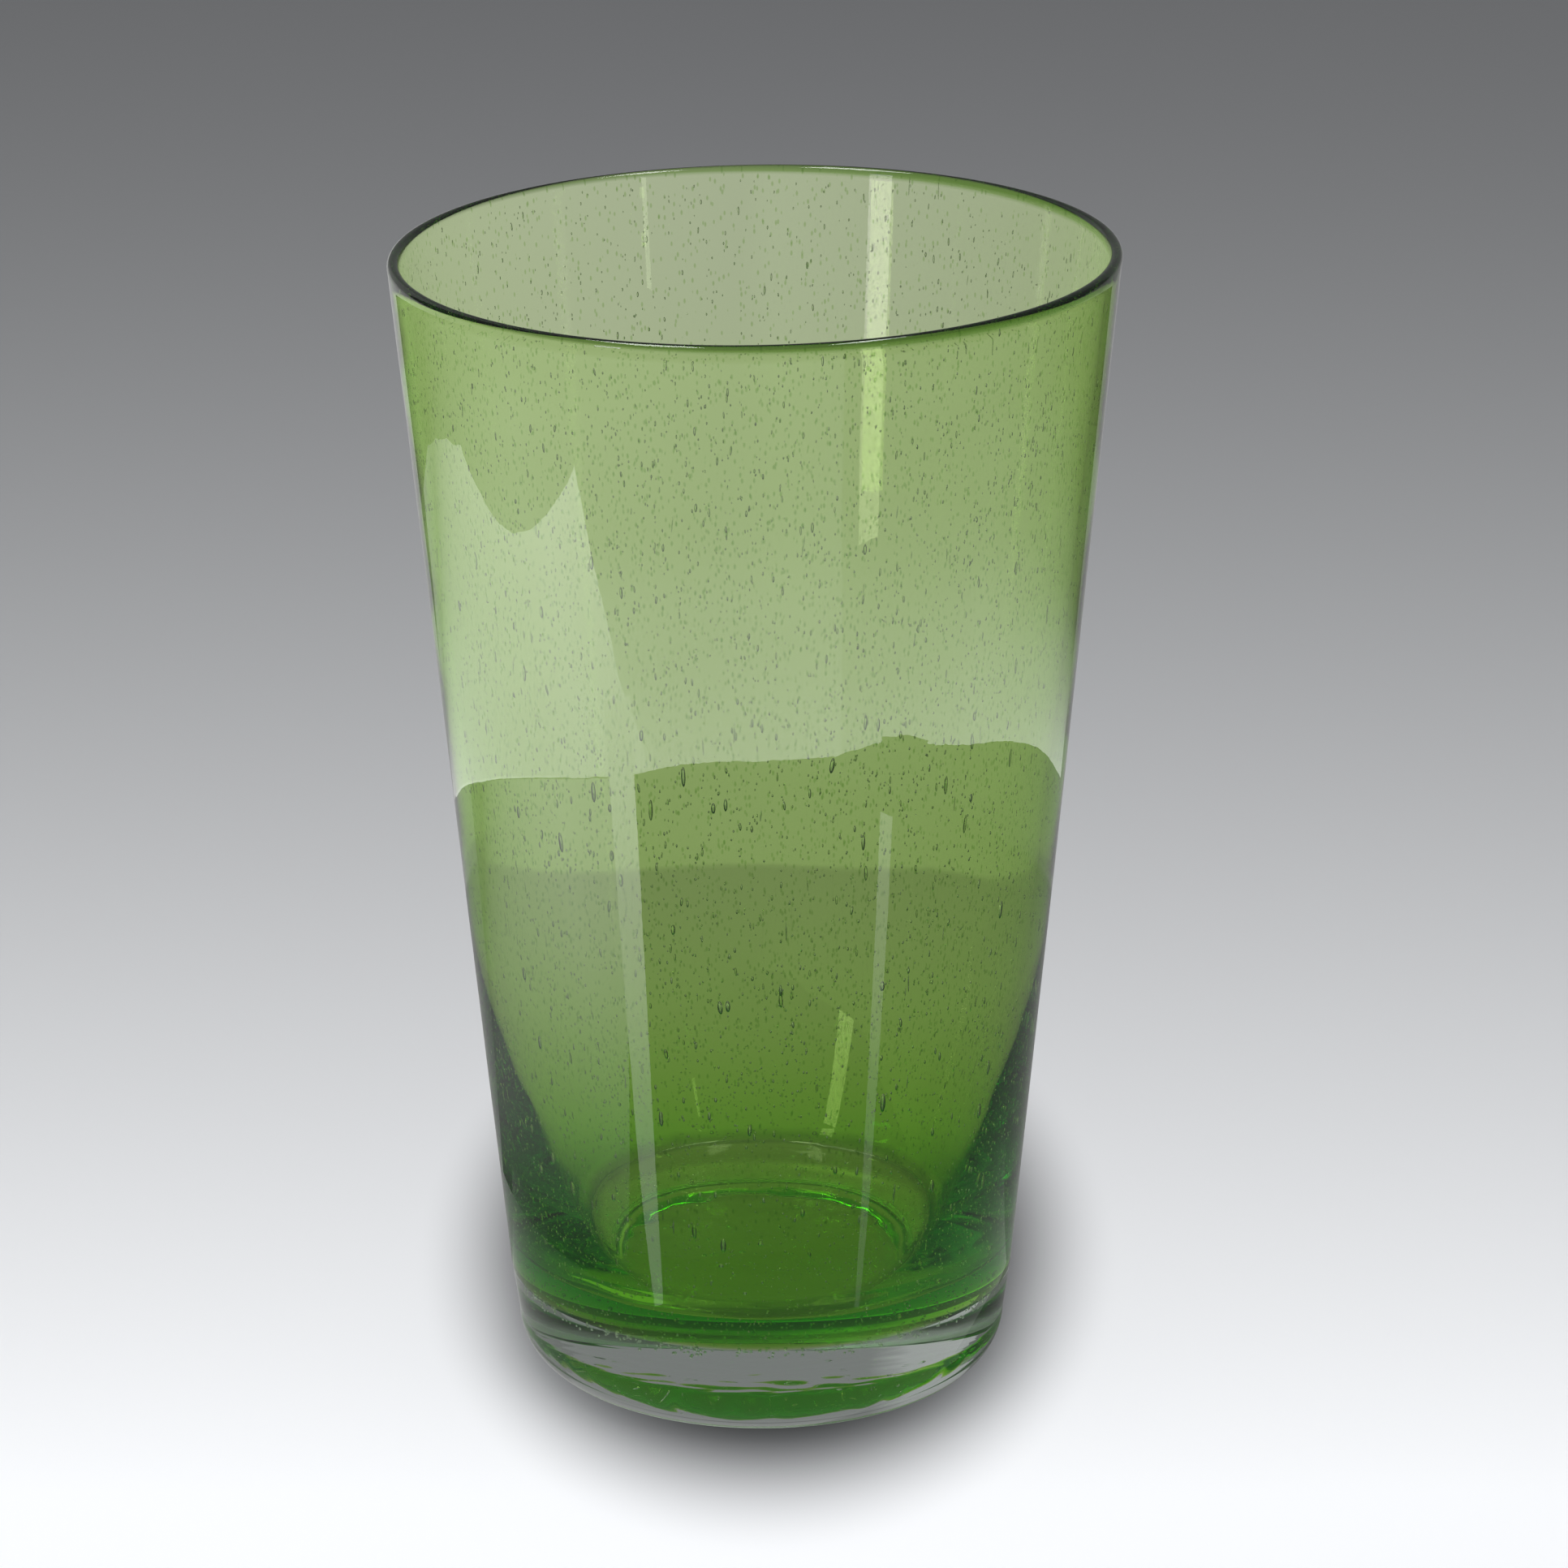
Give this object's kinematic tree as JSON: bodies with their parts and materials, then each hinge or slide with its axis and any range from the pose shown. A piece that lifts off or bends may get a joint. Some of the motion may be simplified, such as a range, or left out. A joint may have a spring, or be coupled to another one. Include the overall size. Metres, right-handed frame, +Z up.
{
  "type": "glass vase",
  "caption": "Tall tapered vase in seeded green glass with a thick clear glass foot, open at the top to hold water and cut flowers.",
  "frame": {"origin": "middle of the resting ring under the foot", "axes": "+Z up along the axis of revolution, from the foot to the mouth; X and Y are any two directions across it"},
  "size_m": [0.1852, 0.1852, 0.3],
  "materials": {
    "green_glass": "polished seeded green glass, full of fine upright bubbles",
    "clear_glass": "polished clear glass with a few fine bubbles near the joint"
  },
  "bodies": {
    "root": {"green_glass_body": "green_glass", "clear_glass_foot": "clear_glass"}
  },
  "joints": []
}
